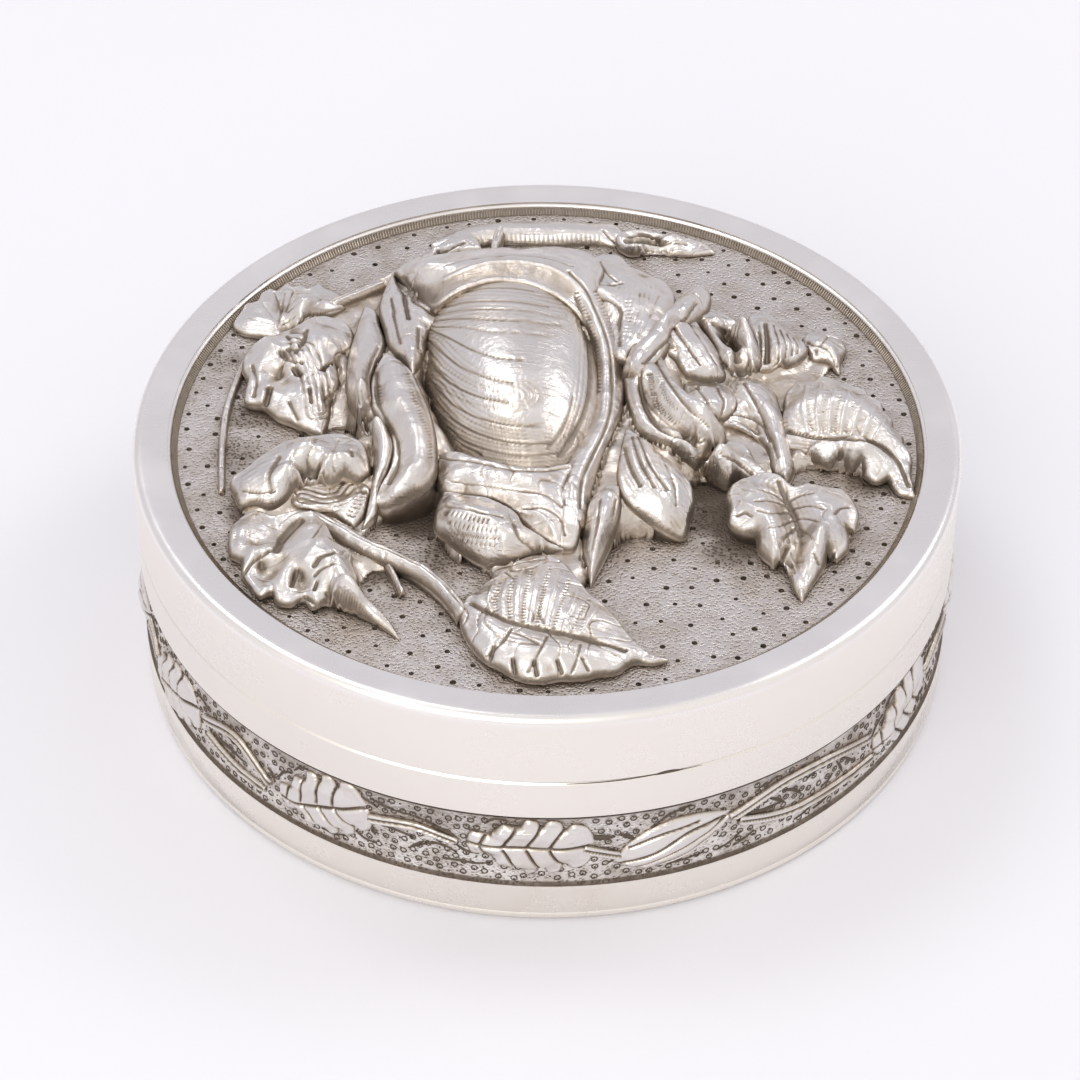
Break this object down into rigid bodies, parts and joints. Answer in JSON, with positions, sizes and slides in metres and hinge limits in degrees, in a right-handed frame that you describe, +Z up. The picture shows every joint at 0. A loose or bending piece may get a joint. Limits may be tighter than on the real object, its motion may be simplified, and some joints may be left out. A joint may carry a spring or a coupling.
{
  "type": "paan box",
  "caption": "Round betel box with a lift-off friction lid carrying a high-relief rose spray, and a base with a chased leaf garland.",
  "frame": {"origin": "centre of the flat resting face under the base plate", "axes": "+Z up through the lid, -Y towards the front, the side on which the spray's large front leaf lies, +X to the right"},
  "size_m": [0.1012, 0.1012, 0.0442],
  "materials": {
    "polished_silver": "polished silver, softly worn by handling",
    "chased_silver": "chased silver, bright on the crests, with dark oxide in the hollows",
    "stippled_silver": "punched silver ground, oxidised grey-brown"
  },
  "bodies": {
    "base": {"base_wall": "polished_silver", "base_plate": "polished_silver", "bezel": "polished_silver", "frieze_leaves": "chased_silver", "frieze_buds": "chased_silver", "frieze_stems": "chased_silver"},
    "lid": {"lid_shell": "polished_silver", "lid_panel": "stippled_silver", "milled_border": "stippled_silver", "rose_bud": "chased_silver", "bud_calyx": "chased_silver", "bud_hood": "chased_silver", "inner_left_sepal": "chased_silver", "star_sepal": "chased_silver", "outer_left_sepal": "chased_silver", "shell_petal": "chased_silver", "neck_sepal": "chased_silver", "lance_sepal": "chased_silver", "curled_petal": "chased_silver", "pointed_petal": "chased_silver", "fan_petal": "chased_silver", "side_petal": "chased_silver", "cup_petal": "chased_silver", "ribbed_petal": "chased_silver", "inner_bract": "chased_silver", "outer_bract": "chased_silver", "lower_bract": "chased_silver", "front_leaf": "chased_silver", "front_left_leaf": "chased_silver", "curled_leaf": "chased_silver", "crumpled_leaf": "chased_silver", "far_left_leaf": "chased_silver", "right_leaf": "chased_silver", "front_right_leaf": "chased_silver", "small_right_leaf": "chased_silver", "top_stem": "chased_silver", "top_bud": "chased_silver", "hood_stem": "chased_silver", "stem_link": "chased_silver", "leaf_twig": "chased_silver", "left_stem": "chased_silver", "branch_stem": "chased_silver", "thorn": "chased_silver"}
  },
  "joints": [
    {"name": "lid_lift", "type": "slide", "parent": "base", "child": "lid", "axis": [0, 0, 1], "range_m": [0, 0.04]}
  ]
}
